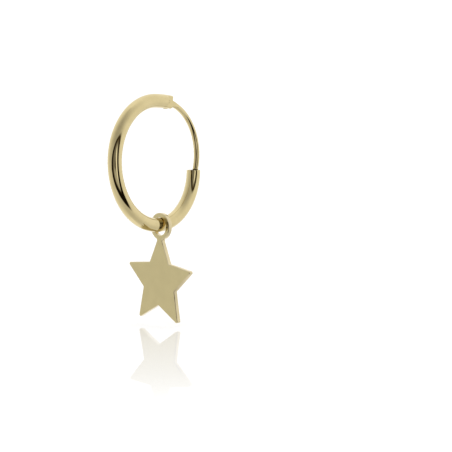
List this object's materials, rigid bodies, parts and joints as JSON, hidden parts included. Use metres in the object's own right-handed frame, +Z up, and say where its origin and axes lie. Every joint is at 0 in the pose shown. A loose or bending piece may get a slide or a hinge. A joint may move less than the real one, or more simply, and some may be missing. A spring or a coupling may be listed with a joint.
{
  "type": "hoop charm earring",
  "caption": "Hinged gold hoop earring: a hollow tube hoop closed by a thin ear wire, with a flat five-pointed star charm hanging from its lowest point.",
  "frame": {"origin": "on the middle line of the ear wire, just below its flattened hinge end, where the pierced ear carries the earring", "axes": "+Z up as the earring hangs, the hoop upright in the X-Z plane with the ear wire on the +X side, +Y away from the viewer across the hoop"},
  "size_m": [0.0135, 0.0091, 0.0234],
  "materials": {
    "polished_gold": "polished pale yellow gold",
    "satin_gold": "satin pale yellow gold with polished edges"
  },
  "bodies": {
    "hoop": {"hoop_tube": "polished_gold", "hinge_rivet": "polished_gold"},
    "wire": {"ear_wire": "polished_gold"},
    "charm": {"star_charm": "satin_gold"}
  },
  "joints": [
    {"name": "wire_hinge", "type": "hinge", "parent": "hoop", "child": "wire", "pos_m": [-0.00162, 0, 0.00048], "axis": [0, -1, 0], "range_deg": [0, 74]},
    {"name": "charm_swing", "type": "hinge", "parent": "hoop", "child": "charm", "pos_m": [-0.00234, 0, -0.01211], "axis": [0.9983, 0, 0.0576], "continuous": true}
  ]
}
